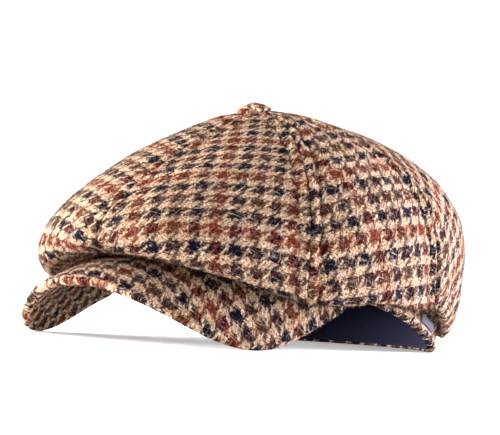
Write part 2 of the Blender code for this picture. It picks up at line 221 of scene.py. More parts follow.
def ripple(p, size, seed, waves=14):
    """Smooth noise of about -1 to 1 at points p, with forms about size across."""
    rng = np.random.default_rng(seed)
    out = np.zeros(p.shape[:-1])
    for _ in range(waves):
        k = unit(rng.normal(size=3)) * 2 * np.pi / (size * rng.uniform(0.75, 1.5))
        out += np.cos(p @ k + rng.uniform(0, 2 * np.pi))
    return out / np.sqrt(waves / 2.0) / 1.6


def stitches(run, dip):
    """Share of a line of stitches' depth along it: least between two stitches."""
    return 1 - dip + dip * np.cos(run * 2 * np.pi / STITCH)


def rim_xy(t, out=0.0):
    """The outer edge of the band on the head opening, or a line that far outside it."""
    n = unit(np.stack([np.sin(t) / RIM_HALF_W, -np.cos(t) / RIM_HALF_L], -1))
    rim = np.stack([RIM_HALF_W * np.sin(t), -RIM_HALF_L * np.cos(t)], -1)
    return rim + n * np.asarray(out)[..., None]


def rim_z(t):
    z = mix(t, *RIM_Z)
    return np.maximum(0.5 * (z + np.hypot(z, 3.0)) - 0.6, 0.0)


def low(t, column):
    """A column of the LOW table at angle t, rounded off over a few degrees."""
    a = np.degrees(np.abs(wrap(t)))
    rows, values = [r["t"] for r in LOW], [r[column] for r in LOW]
    near = [180 - np.abs(180 - np.abs(a + d)) for d in (-6, -3, 0, 3, 6)]
    return sum(np.interp(v, rows, values) for v in near) / 5


def on_band(t, h, out):
    """A point at height h above the rim, that far outside the leaning line of the band."""
    return at(rim_xy(t, low(t, "lean") * h / BAND_H + out), rim_z(t) + h)


def hem_swell(t, h):
    """How far the folded hem stands out at height h; behind the peak only, which covers the rest."""
    hem = HEM[1] * np.clip(np.sin(np.pi * h / HEM[0]), 0, 1) * (h < HEM[0])
    return hem * step(np.abs(wrap(t)), 1.4, 1.5)


def peak_edge(s):
    """The peak's outline; s runs across it from -1 to 1."""
    turn = np.radians(PEAK_TURN)
    k = np.sin(np.abs(s) * np.pi / 2)
    end_x, end_y = RIM_HALF_W * np.sin(turn), -RIM_HALF_L * np.cos(turn)
    x = np.sign(s) * (PEAK_HALF * k + (end_x - PEAK_HALF) * k ** 12)
    x = x * np.where(s < 0, 1 + (PEAK_RIGHT - 1) * (1 - k ** 12), 1.0)
    y = end_y - (end_y - PEAK_FRONT) * np.clip(np.cos(s * np.pi / 2), 0, 1) ** PEAK_ROUND
    z0, z1, z2, z3 = PEAK_Z
    z = curve((z2, z1, z0, z1, z2, z3, float(rim_z(turn)) + 3), np.abs(s) * 4 + 2)
    return np.stack([x, y, z], -1)


def peak_mid(s, w):
    """Middle of the peak's board; s across it (-1 to 1), w from its root to its edge."""
    t = s * np.radians(PEAK_TURN)
    root = at(rim_xy(t, GAP + 0.1), rim_z(t) + PEAK_T / 2 + 0.2)
    w = np.asarray(w, float)[..., None]
    bow = 4 * PEAK_BOW * np.clip(np.cos(s * np.pi / 2), 0, 1)[..., None] ** 0.5 * np.array([0, 0, 1])
    return root + (peak_edge(s) - root) * w + bow * w * (1 - w)


def peak_frame(s, w):
    """Middle point, outward direction and normal of the peak."""
    e = 1e-3
    p = peak_mid(s, w)
    dw = peak_mid(s, w + e) - peak_mid(s, w - e)
    ds = peak_mid(s + e, w) - peak_mid(s - e, w)
    n = np.cross(ds, dw)
    n = unit(n * np.sign(n[..., 2:3]))
    return p, unit(dw), n


def low_ring(t):
    """The lowest fold of the crown: on the peak in front, beside the band behind it."""
    t = wrap(t)
    s = np.clip(t / np.radians(PEAK_TURN), -0.98, 0.98)
    out = low(t, "out")
    root, edge = peak_mid(s, 0 * s), peak_mid(s, 0 * s + 1)
    width = np.linalg.norm((edge - root)[..., :2], axis=-1)
    p, _, n = peak_frame(s, np.clip(out / width, 0.0, 0.8))
    on_peak = p + n * (PEAK_T / 2 + 2 * GAP)
    beside = at(rim_xy(t, out), rim_z(t) + low(t, "up"))
    b = step(np.abs(t), np.radians(74), np.radians(84))[..., None]
    return on_peak * (1 - b) + beside * b


def edge_xy(t):
    """The crown's widest line, seen from above."""
    c, b = (EDGE["front"] + EDGE["back"]) / 2, (EDGE["back"] - EDGE["front"]) / 2
    return np.stack([EDGE["half"] * np.sin(t), c - b * np.cos(t)], -1)


def crown_base(t, u):
    """Outside of the crown: u 0-1 dome, 1-2 lower roll, 2-3 tuck up to the top of the band."""
    t, u = np.broadcast_arrays(np.asarray(t, float), np.asarray(u, float))
    apex = np.array([0.0, APEX[0], APEX[1]])
    edge = at(edge_xy(t), mix(t, *EDGE["z"]))
    fold = low_ring(t)
    top = at(rim_xy(t, low(t, "lean") + GAP + 0.1), rim_z(t) + BAND_H + GAP)
    f = np.clip(u, 0, 1) * np.pi / 2
    r, h = np.sin(f) ** mix(t, *RISE), np.cos(f) ** mix(t, *FULL)
    z = edge[..., 2]
    dome = at(apex[:2] + (edge - apex)[..., :2] * r[..., None], z + (apex[2] - z) * h)
    f = np.clip(u - 1, 0, 1) * np.pi / 2
    r, h = np.cos(f) ** mix(t, *ROLL), np.sin(f)
    roll = at(fold[..., :2] + (edge - fold)[..., :2] * r[..., None], z + (fold[..., 2] - z) * h)
    f = np.clip(u - 2, 0, 1)[..., None]
    tuck = fold + (top - fold) * f
    return np.where((u < 1)[..., None], dome, np.where((u < 2)[..., None], roll, tuck))


def crown_grid(t, u, xi):
    """Puffed outside of the crown and its normal; xi runs across a panel from -1 to 1."""
    base = crown_base(t, u)
    e = 1e-3
    du = crown_base(t, u + e) - crown_base(t, u - e)
    dt = crown_base(t + e, u) - crown_base(t - e, u)
    n = unit(np.cross(du, dt))
    swell = np.sin(np.pi * np.clip(u / 2.0, 0, 1)) ** 0.8 * step(u, 0.06, 0.5)
    lift = swell * (PUFF * (1 - xi ** 2) - GROOVE * bell(1 - np.abs(xi), 0.12))
    return base + n * lift[..., None], n


def dented(t, u, p, n):
    """The crown's points pressed in by the soft dents."""
    for f in FOLDS:
        dt = np.degrees(wrap(t - np.radians(f["t"]))) / f["st"]
        du = (u - f["u"]) / f["su"]
        p = p - n * (f["deep"] * np.exp(-dt ** 2 - du ** 2) * (u < 2))[..., None]
    return p


def dome_start(t, radius):
    """The u at which the dome stands a given distance from the apex."""
    reach = np.linalg.norm(edge_xy(t) - [0.0, APEX[0]], axis=-1)
    return np.arcsin((radius / reach) ** (1 / mix(t, *RISE))) * 2 / np.pi


def panel_angles(i, u, across):
    """Angles of a panel's columns at height u; the seams sway as they near the apex."""
    w = np.clip(1 - u, 0, 1) ** 2
    a = SEAMS[i] + SWAY[i] * w
    b = (SEAMS + (360.0,))[i + 1] + (SWAY + SWAY[:1])[i + 1] * w
    return np.radians((a + b) / 2 + across * (b - a) / 2)


def filled(t, k, inner):
    """Behind the peak the fold is pressed flat: its inside ends in a straight line above it."""
    a, b = np.searchsorted(k, FLAT_FOLD)
    w = ((k[a:b + 1] - k[a]) / (k[b] - k[a]))[:, None, None]
    line = inner[a] + (inner[b] - inner[a]) * w
    share = step(np.abs(wrap(t[a:b + 1])), *np.radians(FLAT_FROM))[..., None]
    inner[a:b + 1] += (line - inner[a:b + 1]) * share
    return inner


# ---------------------------------------------------------------- meshes
def grid_faces(rows, cols, first=0, closed=False, flip=False):
    """Quads of a grid of points that is counted row by row; closed joins the last column to the first."""
    a = first + np.arange(rows * cols).reshape(rows, cols)
    if closed:
        a = np.concatenate([a, a[:, :1]], 1)
    q = np.stack([a[:-1, :-1], a[1:, :-1], a[1:, 1:], a[:-1, 1:]], -1).reshape(-1, 4)
    return (q[:, ::-1] if flip else q).tolist()


def ring_faces(rows, cols):
    """Quads of a ring whose section closes on itself."""
    a = np.arange(rows * cols).reshape(rows, cols)
    a = np.concatenate([a, a[:, :1]], 1)
    a = np.concatenate([a, a[:1]], 0)
    return np.stack([a[:-1, :-1], a[:-1, 1:], a[1:, 1:], a[1:, :-1]], -1).reshape(-1, 4).tolist()


def make(name, pts, faces, mat, cloth, sharp=50.0):
    """A mesh object from points in millimetres. cloth holds each point's place in the fabric, in threads; on
    the sweep it holds how strongly the paper glows.
    """
    mesh = bpy.data.meshes.new(name)
    pts = (np.asarray(pts).reshape(-1, 3) + [0, CENTRE_Y, 0]) * MM
    mesh.from_pydata(pts.tolist(), [], faces)
    mesh.materials.append(mat)
    a = mesh.attributes.new("cloth", "FLOAT_VECTOR", "POINT")
    a.data.foreach_set("vector", np.asarray(cloth, np.float32).ravel())
    mesh.shade_smooth()
    if sharp:
        mesh.set_sharp_from_angle(angle=np.radians(sharp))
    obj = bpy.data.objects.new(name, mesh)
    bpy.context.scene.collection.objects.link(obj)
    return obj


def worn(obj, slot, *nodes):
    """The piece belongs to the cap and stands for these solids, which are hidden. slot is not used."""
    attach(obj, "root")
    if nodes:
        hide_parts(*nodes)


def shell(outer, inner, cloth, row_step, col_step):
    """Closed shell: a fine outer grid, and an inner grid that keeps only some of its rows and columns.

    The last rows and columns are kept, and fans of triangles join the two along all four sides.
    """
    r, c = outer.shape[:2]
    rows = sorted({*range(0, r, row_step), r - 1})
    cols = sorted({*range(0, c, col_step), c - 1})
    kept = np.ix_(rows, cols)
    pts = np.concatenate([outer.reshape(-1, 3), inner[kept].reshape(-1, 3)])
    cl = np.concatenate([cloth.reshape(-1, 3), cloth[kept].reshape(-1, 3)])
    o = np.arange(r * c).reshape(r, c)
    i = r * c + np.arange(len(rows) * len(cols)).reshape(len(rows), len(cols))
    faces = grid_faces(r, c) + grid_faces(len(rows), len(cols), r * c, flip=True)

    def join(fine, coarse, picks, flip):
        for k in range(len(picks) - 1):
            a, b = picks[k], picks[k + 1]
            fan = [(coarse[k], fine[m], fine[m + 1]) for m in range(a, b)]
            fan.append((coarse[k], fine[b], coarse[k + 1]))
            faces.extend(f[::-1] if flip else f for f in fan)
    join(o[0], i[0], cols, False)
    join(o[-1], i[-1], cols, True)
    join(o[:, 0], i[:, 0], rows, True)
    join(o[:, -1], i[:, -1], rows, False)
    return pts, faces, cl


# ---------------------------------------------------------------- materials
def grey(value):
    return (value, value, value)


class Nodes:
    """A small helper that adds shader nodes to a material."""

    def __init__(self, name):
        self.mat = bpy.data.materials.new(name)
        self.mat.use_nodes = True
        self.tree = self.mat.node_tree
        self.bsdf = self.tree.nodes["Principled BSDF"]

    def add(self, kind, **props):
        n = self.tree.nodes.new("ShaderNode" + kind)
        for k, v in props.items():
            setattr(n, k, v)
        return n

    def put(self, socket, value):
        """Link a socket to another, or give it a number or colour."""
        if isinstance(value, bpy.types.NodeSocket):
            self.tree.links.new(value, socket)
        else:
            socket.default_value = value

    def cloth(self, output="Vector"):
        return self.add("Attribute", attribute_name="cloth", attribute_type="GEOMETRY").outputs[output]

    def parts(self, vector):
        """The x, y and z of a vector."""
        n = self.add("SeparateXYZ")
        self.put(n.inputs[0], vector)
        return n.outputs

    def math(self, op, a, b=0.0, c=0.0):
        n = self.add("Math", operation=op)
        for s, v in zip(n.inputs, (a, b, c)):
            self.put(s, v)
        return n.outputs[0]

    def noise(self, vector, scale, detail=2.0, rough=0.5):
        n = self.add("TexNoise")
        self.put(n.inputs["Vector"], vector)
        n.inputs["Scale"].default_value = scale
        n.inputs["Detail"].default_value = detail
        n.inputs["Roughness"].default_value = rough
        return n.outputs["Fac"]

    def laid(self, vector, scale, turn=0.0, shift=(0.0, 0.0, 0.0), kind="TEXTURE"):
        """The vector of a texture that is shifted, turned by an angle in degrees and then stretched."""
        n = self.add("Mapping", vector_type=kind)
        self.put(n.inputs["Vector"], vector)
        n.inputs["Location"].default_value = shift
        n.inputs["Rotation"].default_value = (0, 0, np.radians(turn))
        n.inputs["Scale"].default_value = scale
        return n.outputs[0]

    def mixed(self, fac, a, b, blend="MIX"):
        n = self.add("Mix", data_type="RGBA", blend_type=blend)
        self.put(n.inputs[0], fac)
        self.put(n.inputs[6], a)
        self.put(n.inputs[7], b)
        return n.outputs[2]

    def ramp(self, fac, *stops, kind="LINEAR"):
        """Colours by a factor; each stop is a place and a linear colour."""
        n = self.add("ValToRGB")
        n.color_ramp.interpolation = kind
        e = n.color_ramp.elements
        while len(e) < len(stops):
            e.new(0.5)
        for k, (pos, col) in enumerate(stops):
            e[k].position = pos
            e[k].color = (*col, 1.0)
        self.put(n.inputs[0], fac)
        return n.outputs[0]

    def finish(self, colour, rough, specular):
        self.put(self.bsdf.inputs["Base Color"], colour)
        self.put(self.bsdf.inputs["Roughness"], rough)
        self.bsdf.inputs["Specular IOR Level"].default_value = specular

    def bump(self, height, strength, deep):
        """Relief from a height, deep in millimetres."""
        n = self.add("Bump")
        n.inputs["Strength"].default_value = strength
        n.inputs["Distance"].default_value = deep * MM
        self.put(n.inputs["Height"], height)
        self.put(self.bsdf.inputs["Normal"], n.outputs[0])


def wandering_threads(m, cloth):
    """Place across the warp and the weft, in threads: they wander, and raised wool frays their edges."""
    places = m.parts(cloth)
    shift = m.add("VectorMath", operation="ADD")
    m.put(shift.inputs[0], cloth)
    shift.inputs[1].default_value = (37.0, 11.0, 5.0)
    uv = []
    for k, own in enumerate((cloth, shift.outputs[0])):
        a = m.math("MULTIPLY_ADD", m.noise(own, 0.20, 1.0), WANDER, places[k])
        a = m.math("MULTIPLY_ADD", m.noise(own, 1.1, 3.0, 0.8), FRAY, a)
        uv.append(m.math("SUBTRACT", a, WANDER / 2 + FRAY / 2))
    return uv


def stripe_yarn(m, across):
    """Colour of the yarn at a place across the stripes; a coloured one spreads over the cream."""
    stops = []
    for k, name in enumerate(STRIPES):
        start = k + SPREAD if name == "cream" else k - SPREAD * (k > 0)
        stops.append((start / len(STRIPES), COLOURS[name]))
    place = m.math("FRACT", m.math("MULTIPLY", across, 1.0 / (STRIPE * len(STRIPES))))
    return m.ramp(place, *stops, kind="CONSTANT")


def melange(m, cloth):
    """Streaks of lighter and darker wool, which lie both ways across the threads; their lightest parts also
    serve as painted highlights.
    """
    streaks = [m.noise(m.laid(cloth, (1.9, 0.62, 1.0), turn), 1.0, 4.0, 0.75) for turn in (38.0, -47.0)]
    return m.mixed(m.ramp(m.noise(cloth, 0.6, 1.0), (0.45, grey(0)), (0.55, grey(1))), *streaks)


def single_hairs(m, cloth, colour):
    """Thin light and dark hairs in patches over a colour."""
    for hair in HAIRS:
        own = m.laid(cloth, (4.5, 0.8, 1.0), hair["turn"], (hair["turn"], 3.0, 0.0))
        off = m.math("ABSOLUTE", m.math("SUBTRACT", m.noise(own, 1.0, 1.0), 0.5))
        line = m.ramp(off, (hair["wide"] * 0.4, grey(0.7)), (hair["wide"] * 1.2, grey(0)))
        patch = m.ramp(m.noise(own, 0.8, 1.0), (0.52, grey(0)), (0.58, grey(1)))
        colour = m.mixed(m.math("MULTIPLY", line, patch), colour, (*hair["colour"], 1.0))
    return colour


def tweed_material():
    """Woollen 2/2 twill, with the same order of stripes in warp and weft."""
    m = Nodes("tweed")
    cloth = m.cloth()
    uv = wandering_threads(m, cloth)
    part = [m.math("FRACT", v) for v in uv]
    twill = m.math("FLOORED_MODULO", m.math("ADD", *uv), TWILL)
    over = m.math("LESS_THAN", twill, WARP)
    yarn = [stripe_yarn(m, v) for v in uv]
    colour = m.mixed(over, yarn[1], yarn[0])
    # loose fibres of the other yarn show through in places
    stray = m.ramp(m.noise(cloth, 1.5, 3.0, 0.75), (0.52, grey(0)), (0.66, grey(0.75)))
    colour = m.mixed(stray, colour, m.mixed(over, yarn[0], yarn[1]))
    # each thread is round, with a gap beside it and along the lines of the twill, where painted shade darkens
    # the colour
    side = m.math("ADD", m.math("MULTIPLY", over, part[0]),
                  m.math("MULTIPLY", m.math("SUBTRACT", 1.0, over), part[1]))
    side = m.math("SUBTRACT", side, 0.5)
    side = m.math("SUBTRACT", 1.0, m.math("MULTIPLY", m.math("MULTIPLY", side, side), 3.2))
    line = m.math("COSINE", m.math("MULTIPLY", m.math("SUBTRACT", twill, WARP / 2), np.pi))
    raised = m.math("MULTIPLY_ADD", line, 0.22, m.math("MULTIPLY", side, 0.75))
    # painted shade and highlight: darker where the weave lies low, lighter on the raised threads
    painted_weave_shade = m.ramp(raised, (0.0, (0.22, 0.17, 0.14)), (0.55, (0.93, 0.91, 0.89)), (0.95, grey(1.18)))
    colour = m.mixed(1.0, colour, painted_weave_shade, "MULTIPLY")
    fleck = melange(m, cloth)
    # lighter and darker wool, with painted highlights in its whitest flecks
    wool_tone_and_highlight = m.ramp(fleck, (0.40, (0.14, 0.09, 0.07)), (0.465, (0.62, 0.51, 0.41)),
                    (0.53, (1.02, 0.99, 0.95)), (0.61, (1.65, 1.95, 2.25)))
    colour = m.mixed(1.0, colour, wool_tone_and_highlight, "MULTIPLY")
    colour = single_hairs(m, cloth, colour)
    # the whole cloth is a little lighter here and darker there
    cover = m.ramp(m.noise(cloth, 0.06, 2.0), (0.3, (0.90, 0.88, 0.86)), (0.7, grey(1.08)))
    m.finish(m.mixed(1.0, colour, cover, "MULTIPLY"), 0.95, 0.02)
    m.bump(m.math("MULTIPLY_ADD", fleck, 1.5, raised), 1.0, RELIEF)
    return m.mat


def navy_material():
    """Matt cotton tape with a fine slanting rib."""
    m = Nodes("navy_cloth")
    cloth = m.cloth()
    x, y, _ = m.parts(cloth)
    ribs = m.math("SINE", m.math("MULTIPLY", m.math("ADD", x, y), 9.0))
    flecks = m.noise(cloth, 1.2, 3.0, 0.6)
    m.finish(m.ramp(flecks, (0.3, (0.0032, 0.0035, 0.011)), (0.7, (0.009, 0.010, 0.028))), 0.9, 0.1)
    m.bump(m.math("ADD", flecks, ribs), 0.6, 0.1)
    return m.mat


def metal_material():
    """Dark satin metal, brushed along the tab and tarnished in patches."""
    m = Nodes("dark_metal")
    cloth = m.cloth()
    brushed = m.noise(m.laid(cloth, (0.6, 9.0, 1.0), kind="POINT"), 3.0, 3.0, 0.6)
    tarnish = m.noise(cloth, 0.5, 3.0, 0.6)
    colour = m.ramp(tarnish, (0.3, (0.042, 0.041, 0.052)), (0.7, (0.078, 0.076, 0.092)))
    m.finish(colour, m.math("MULTIPLY_ADD", brushed, 0.25, 0.60), 0.08)
    m.bsdf.inputs["Metallic"].default_value = 0.12
    m.bump(brushed, 0.5, 0.03)
    return m.mat


def paper_material():
    """Pale matt paper that glows by the amount given at each point."""
    m = Nodes("pale_paper")
    grain = m.noise(m.add("TexCoord").outputs["Object"], 60.0, 2.0)
    m.finish(m.ramp(grain, (0.3, grey(0.90)), (0.7, grey(0.93))), 0.95, 0.5)
    m.bsdf.inputs["Emission Color"].default_value = (1, 1, 1, 1)
    # the paper's own glow, given by side in the cloth attribute
    m.put(m.bsdf.inputs["Emission Strength"], m.cloth("Fac"))
    return m.mat


tweed = tweed_material()
navy = navy_material()
metal = metal_material()


def fuzz(name, p, n, cloth, count, seed):
    """Loose wool on a grid of points: thin fibres, each a narrow triangle that leans over the cloth."""
    rng = np.random.default_rng(seed)
    a, b = p[1:, :-1] - p[:-1, :-1], p[:-1, 1:] - p[:-1, :-1]
    area = np.linalg.norm(np.cross(a, b), axis=-1).ravel()
    cell = rng.choice(area.size, count, p=area / area.sum())
    i, j = np.unravel_index(cell, a.shape[:2])
    f, g = rng.random((2, count, 1))

    def at_cell(q):
        near, far = (q[i, k] * (1 - f) + q[i + 1, k] * f for k in (j, j + 1))
        return near * (1 - g) + far * g
    root, up, place = at_cell(p), unit(at_cell(n)), at_cell(cloth)
    flat = unit(np.cross(up, rng.normal(size=(count, 3))))
    beside = np.cross(up, flat) * FIBRE_WIDE / 2
    size = rng.uniform(*FIBRE_LONG, (count, 1))
    rise = np.radians(rng.uniform(*FIBRE_RISE, (count, 1)))
    tip = root + size * (flat * np.cos(rise) + up * np.sin(rise))
    tip[:, 2] = np.maximum(tip[:, 2], FIBRE_LOWEST)
    root = root - FIBRE_ROOT * up
    pts = np.stack([root - beside, root + beside, tip], 1).reshape(-1, 3)
    pts[:, 2] = np.maximum(pts[:, 2], 0.0)
    faces = np.arange(3 * count).reshape(-1, 3).tolist()
    obj = make(name, pts, faces, tweed, np.repeat(place, 3, 0), sharp=0)
    obj.data.normals_split_custom_set_from_vertices(np.repeat(up, 3, 0).tolist())
    worn(obj, "tweed")


# ---------------------------------------------------------------- crown
PANELS = ("front_left", "side_left", "back_left", "back_right", "side_right", "front_right")
PANEL_COLS, PANEL_ROWS = 97, 150
CROWDED = 0.25                  # how much closer the columns lie beside the seams
INSIDE_ROWS, INSIDE_COLS = 5, 6                 # one row and column in so many is kept on the inside
APEX_TURN_IN = 1.8              # cloth sewn in at the apex
SEAM_HEIGHT = (0.7, 1.35, 1.0, 0.8, 0.9, 1.0)   # how bold each panel's first seam is
# forms beside a seam: how far from it, how wide and how high
SEAM_LINE = dict(off=0.0, wide=0.5, high=-0.3)
SEAM_RIDGE = dict(off=2.1, wide=2.2, high=1.5)
TOPSTITCH = dict(off=6.8, wide=0.75, high=-1.25)
PUCKERS = dict(off=9.0, wide=5.0, high=0.16)
PUCKER_LONG, PUCKER_VARY = 9.0, 17.0            # length of a pucker, and over which it varies


def rib(x, form):
    return form["high"] * bell(x - form["off"], form["wide"])


def seam_relief(off, run, half, bold):
    """Ridge over the turned-in cloth beside a seam, and the groove of the topstitching beyond it.

    off is the distance from the seam, run the length along it, and half the panel's half width.
    """
    stitch = rib(off, TOPSTITCH) * stitches(run, 0.2)
    pucker = rib(off, PUCKERS) * np.cos(run * 2 * np.pi / PUCKER_LONG + 1.5 * np.sin(run / PUCKER_VARY))
    return step(half, 5.0, 16.0) * (rib(off, SEAM_LINE) + bold * (rib(off, SEAM_RIDGE) + stitch + pucker))


def even_rows(i):
    """Steps from the apex to the band that spread a panel's rows evenly over its length."""
    k = np.linspace(0, 3, PANEL_ROWS * 4)[:, None]
    run = along(crown_base(panel_angles(i, k, 0.0), k), 0)[:, 0] + 0.02 * np.arange(len(k))
    return np.interp(np.linspace(0, run[-1], PANEL_ROWS), run, k[:, 0])[:, None]


def crown_panel(i):
    """One panel: a shell with its seams' relief, and the loose wool on it."""
    q = np.linspace(-1, 1, PANEL_COLS)
    xi = (q * (1 + CROWDED * (1 - q ** 2)))[None, :]
    k = even_rows(i)
    t = panel_angles(i, k, xi)
    u0 = dome_start(t, APEX_HOLE)
    u = np.where(k < 1, u0 + (1 - u0) * k, k)
    t, u = np.broadcast_arrays(t, u)
    p, n = crown_grid(t, u, np.broadcast_to(xi, t.shape))
    p = dented(t, u, p, n)
    # place in the flat cloth: distance from the apex and angle from the panel's middle
    r = along(p, 0) + APEX_HOLE + APEX_TURN_IN
    s = along(p, 1)
    s = s - s[:, PANEL_COLS // 2:PANEL_COLS // 2 + 1]
    cloth = on_cloth(r * np.sin(s / r), r * np.cos(s / r), PANELS[i], PANEL_LAYER * i)
    half = (s[:, -1:] - s[:, :1]) / 2
    inner = p - n * (CLOTH * (1 - PINCH * bell(u - PINCH_AT, PINCH_WIDE)))[..., None]
    inner = filled(t, k[:, 0], inner)
    # relief, left out under the button and where the panel is tucked in
    lift = np.where(s < 0, seam_relief(s - s[:, :1], r, half, SEAM_HEIGHT[i]),
                    seam_relief(s[:, -1:] - s, r, half, SEAM_HEIGHT[(i + 1) % len(PANELS)]))
    lift = lift + 0.35 * ripple(p, size=24.0, seed=3) + 0.12 * ripple(p, size=7.0, seed=4)
    lift = lift * step(u, 0.02, 0.12) * (1 - step(u, 1.75, 1.95))
    p = p + n * lift[..., None]
    # draw the panel in by half the seam's clearance
    d = unit(np.gradient(p, axis=1)) * (-GAP / 2 * xi * (1 + step(u, 1.8, 2.0)))[..., None]
    p, inner = p + d, inner + d * (1 + 5 * step(u, 1.2, 1.5))[..., None]
    pts, faces, cl = shell(p, inner, cloth, INSIDE_ROWS, INSIDE_COLS)
    worn(make("crown_" + PANELS[i], pts, faces, tweed, cl), "tweed", "panel_" + PANELS[i])
    out = np.searchsorted(k[:, 0], PINCH_AT)
    fuzz("crown_wool_" + PANELS[i], p[:out], n[:out], cloth[:out], FUZZ_PANEL, 40 + i)


for index in range(len(PANELS)):
    crown_panel(index)


# ---------------------------------------------------------------- band, sweatband
def rim_run(t):
    """Length along the rim, from the front."""
    return along(rim_xy(t)[:, None, :], 0)[:, 0]


def band_piece():
    """The folded band: a hem with a line of stitches above it, then gathered cloth up to the crown."""
    t = all_round(720)
    run = rim_run(t)
    outer = [*np.linspace(0, HEM[0], 11), *np.linspace(HEM[0] + 0.6, BAND_H, 24)]
    rows, cloth = [], []
    for h in outer:
        stitch = -0.6 * bell(h - HEM[0] - 0.8, 0.9) * stitches(run, 0.15)
        where = at(rim_xy(t), rim_z(t) + h)
        gathers = 0.3 * ripple(where, size=16.0, seed=9) * step(h, 2.0, 8.0) * (1 - step(h, 20.0, 25.0))
        uneven = 0.15 * ripple(where, size=7.0, seed=10) * step(h, 0.5, 2.5)
        rows.append(on_band(t, h, hem_swell(t, h) + (stitch + gathers) * step(h, 2.0, 5.0) + uneven))
        cloth.append(np.stack([run / THREAD, 0 * t - h / THREAD + 1.5, 0 * t + BAND_LAYER], -1))
    for h in (BAND_H, 18.0, 9.0, HEM[0], 2.5, 0.0):
        rows.append(on_band(t, h, -BAND_T))
        cloth.append(np.stack([run / THREAD, 0 * t + (h + BAND_T) / THREAD, 0 * t + BAND_LAYER], -1))
    p, cl = np.array(rows), np.array(cloth)
    worn(make("band_cloth", p, ring_faces(*p.shape[:2]), tweed, cl, sharp=70), "tweed", "band")
    outside = p[:len(outer)]
    n = unit(np.cross(np.gradient(outside, axis=1), np.gradient(outside, axis=0)))
    fuzz("band_wool", outside[1:], n[1:], cl[1:len(outer)], FUZZ_BAND, 60)


def sweat_piece():
    """The sweatband, with a rolled and stitched lower edge."""
    t = all_round(360)
    run = rim_run(t)
    rows, cloth = [], []
    for side, hs in ((0.0, (SWEAT_LOW, 8.0, 16.0, SWEAT_TOP)), (1.0, np.linspace(SWEAT_TOP, SWEAT_LOW, 24))):
        for h in hs:
            roll = 0.35 * bell(h - SWEAT_LOW - 0.8, 1.2) - 0.25 * bell(h - SWEAT_LOW - 3.2, 0.7)
            rows.append(on_band(t, h, -BAND_T - GAP - side * (SWEAT_T - 0.3 + roll)))
            cloth.append(np.stack([run, 0 * t + h, 0 * t + side], -1))
    p = np.array(rows)
    obj = make("sweatband_tape", p, ring_faces(*p.shape[:2]), navy, np.array(cloth), sharp=60)
    worn(obj, "navy_cloth", "sweatband")


band_piece()
sweat_piece()

# ---------------------------------------------------------------- peak
PEAK_COLS = 261
PEAK_ROWS = (*np.linspace(0, 0.86, 30), 0.9, 0.935, 0.965)      # from the root to where the nose begins
NOSE = (0, 15, 30, 45, 60, 75, 90, 105, 120, 132, 140, 145, 150, 156, 164, 180)     # degrees over the edge
NOSE_SEAM = dict(off=147.0, wide=7.0, high=0.45)    # where the lower cloth is sewn to the upper one
UPPER_TO = 145                  # the upper cloth ends at this angle of the nose
NOSE_WRAP = 0.6
UNDER_SHIFT = (9.0, 14.0)
PEAK_FLAT = (64, 13)            # points across and out in the peak that is laid flat


def flat_peak(s, depth):
    """Lay the peak flat, keeping the lengths between its points as well as can be."""
    cols, rows = PEAK_FLAT
    a, b = np.linspace(-PEAK_END, PEAK_END, cols), np.linspace(0, 1, rows)
    p = np.stack([peak_mid(a, 0 * a + w) for w in b], 1)
    x = along(p * [1, 0, 1], 0)
    q = np.stack([x - x[-1:] / 2, p[..., 1]], -1)
    pairs = ((np.s_[1:, :], np.s_[:-1, :]), (np.s_[:, 1:], np.s_[:, :-1]),
             (np.s_[1:, 1:], np.s_[:-1, :-1]), (np.s_[1:, :-1], np.s_[:-1, 1:]))
    long = [np.linalg.norm(p[i] - p[j], axis=-1, keepdims=True) for i, j in pairs]
    for _ in range(1500):
        move = np.zeros_like(q)
        for (i, j), length in zip(pairs, long):
            d = q[i] - q[j]
            d = d * (0.5 - 0.5 * length / np.linalg.norm(d, axis=-1, keepdims=True))
            move[i] -= d
            move[j] += d
        q = q + move * 0.28
    out = []
    for k in (0, 1):
        at_s = np.stack([np.interp(s, a, q[:, j, k]) for j in range(rows)], 1)
        out.append(np.stack([np.interp(depth, b, row) for row in at_s]))
    return out


def peak_points(s):
    """Sections of the covered board: its upper side, round the nose and back on its lower side."""
    h = PEAK_T / 2 * (1 - PEAK_THIN * step(np.abs(s), 0.7, 0.95))[:, None]
    tops, bottoms = [], []
    for w in PEAK_ROWS:
        p, _, n = peak_frame(s, 0 * s + w)
        k = step(w, 0.0, 0.4)
        n = unit(n * k + np.array([0.0, 0.0, 1.0]) * (1 - k))
        tops.append(p + n * h)
        bottoms.append(p - n * h)
    p, o, n = peak_frame(s, 0 * s + 1)
    p = p - o * h
    nose = []
    for a in NOSE:
        turn = n * np.cos(np.radians(a)) + o * np.sin(np.radians(a))
        nose.append(p + (h - rib(a, NOSE_SEAM)) * turn)
    return np.stack(tops + nose + bottoms[::-1], 1)


def peak_cloth(s, p, depth, first, top):
    """Place of the peak's points in the cloth; the nose is points first to top, the lower cloth follows."""
    x, y = flat_peak(s, depth)
    cloth = on_cloth(x, y, "peak", PEAK_LAYER)
    below = on_cloth(x + UNDER_SHIFT[0], y + UNDER_SHIFT[1], "peak", UNDER_LAYER)
    wrapped = along(p[:, first:top], 1) / THREAD * NOSE_WRAP
    edge = unit(np.gradient(peak_edge(s)[:, :2], axis=0))
    cloth[:, first:top, 0] += wrapped * edge[:, 1:2]
    cloth[:, first:top, 1] -= wrapped * np.abs(edge[:, :1])
    cloth[:, top:] = below[:, top:]
    return cloth


